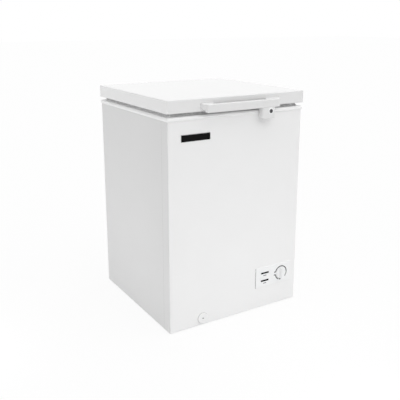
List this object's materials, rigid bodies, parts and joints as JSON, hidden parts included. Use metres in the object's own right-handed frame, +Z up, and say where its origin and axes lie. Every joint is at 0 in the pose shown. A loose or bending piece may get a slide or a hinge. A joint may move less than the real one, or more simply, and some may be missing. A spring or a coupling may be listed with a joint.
{
  "type": "chest freezer",
  "caption": "Small white chest freezer with a sprung lid, locking bar handle, low front control panel, foamed cabinet and hanging wire basket.",
  "frame": {"origin": "on the floor under the middle of the freezer, with the handle in front and the hinges behind included", "axes": "+X to the right seen from the front, +Y to the back, +Z up"},
  "size_m": [0.585, 0.619, 0.85],
  "materials": {
    "white_sheet": "satin",
    "galvanised": "satin",
    "liner_metal": "satin",
    "white_plastic": "satin",
    "gloss_white": "gloss",
    "grey_gasket": "matte",
    "foam": "matte",
    "copper_tube": "satin",
    "compressor_black": "satin",
    "motor_iron": "satin",
    "black_rubber": "matte",
    "black_plastic": "satin",
    "badge_black": "satin",
    "lens_dark": "gloss",
    "zinc": "satin",
    "lock_metal": "polished",
    "spring_steel": "satin",
    "basket_coat": "satin",
    "grey_plastic": "satin"
  },
  "bodies": {
    "cabinet": {"front_panel": "white_sheet", "left_side_panel": "white_sheet", "right_side_panel": "white_sheet", "rear_panel": "white_sheet", "base_plate": "galvanised", "top_trim": "white_plastic", "inner_liner": "liner_metal", "cabinet_foam": "foam", "evaporator_coil": "copper_tube", "condenser_coil": "copper_tube", "machine_room_panel": "galvanised", "compressor_tray": "galvanised", "compressor": "compressor_black", "compressor_motor": "motor_iron", "compressor_mounts": "black_rubber", "compressor_bolts": "zinc", "relay_box": "black_plastic", "discharge_line": "copper_tube", "suction_line": "copper_tube", "filter_drier": "copper_tube", "capillary_tube": "copper_tube", "side_vent_grille": "white_plastic", "rear_cover": "white_sheet", "cover_screws": "zinc", "cord_gland": "black_plastic", "feet": "black_plastic", "foot_screws": "zinc", "badge_plate": "badge_black", "control_panel": "gloss_white", "indicator_lenses": "lens_dark", "thermostat_body": "grey_plastic", "drain_tube": "white_plastic", "lock_strike": "zinc", "strike_screw": "zinc", "left_hinge_bracket": "zinc", "right_hinge_bracket": "zinc", "hinge_screws": "zinc", "hinge_pins": "zinc", "hinge_springs": "spring_steel"},
    "lid": {"lid_skin": "white_sheet", "lid_foam": "foam", "lid_liner": "gloss_white", "lid_gasket": "grey_gasket", "handle": "white_plastic", "handle_screws": "zinc", "lock_barrel": "lock_metal", "left_hinge_leaf": "zinc", "right_hinge_leaf": "zinc", "leaf_screws": "zinc"},
    "lock": {"lock_core": "lock_metal", "lock_cam": "zinc"},
    "knob": {"thermostat_knob": "gloss_white"},
    "drain_cap": {"drain_cap": "gloss_white"},
    "drain_plug": {"drain_plug": "grey_plastic"},
    "basket": {"basket_rim": "basket_coat", "basket_wires": "basket_coat"},
    "plungers": {"left_hinge_plunger": "grey_plastic", "right_hinge_plunger": "grey_plastic"}
  },
  "joints": [
    {"name": "lid_hinge", "type": "hinge", "parent": "cabinet", "child": "lid", "pos_m": [0, 0.297, 0.8], "axis": [-1, 0, 0], "range_deg": [0, 80]},
    {"name": "plunger_slide", "type": "slide", "parent": "cabinet", "child": "plungers", "axis": [0, 0, 1], "range_m": [0, 0.005], "deforming": ["hinge_springs"]},
    {"name": "lock_turn", "type": "hinge", "parent": "lid", "child": "lock", "pos_m": [0.122, -0.3, 0.788], "axis": [0, -1, 0], "range_deg": [0, 90]},
    {"name": "knob_turn", "type": "hinge", "parent": "cabinet", "child": "knob", "pos_m": [0.2145, -0.29, 0.13025], "axis": [0, -1, 0], "range_deg": [-135, 135]},
    {"name": "drain_cap_slide", "type": "slide", "parent": "cabinet", "child": "drain_cap", "axis": [0, -1, 0], "range_m": [0, 0.03]},
    {"name": "drain_plug_lift", "type": "slide", "parent": "cabinet", "child": "drain_plug", "axis": [0, 0, 1], "range_m": [0, 0.04]},
    {"name": "basket_slide", "type": "slide", "parent": "cabinet", "child": "basket", "axis": [-1, 0, 0], "range_m": [0, 0.22]}
  ],
  "couplings": [
    {"joint": "plunger_slide", "follows": "lid_hinge", "m_per_rad": 0.003581}
  ]
}
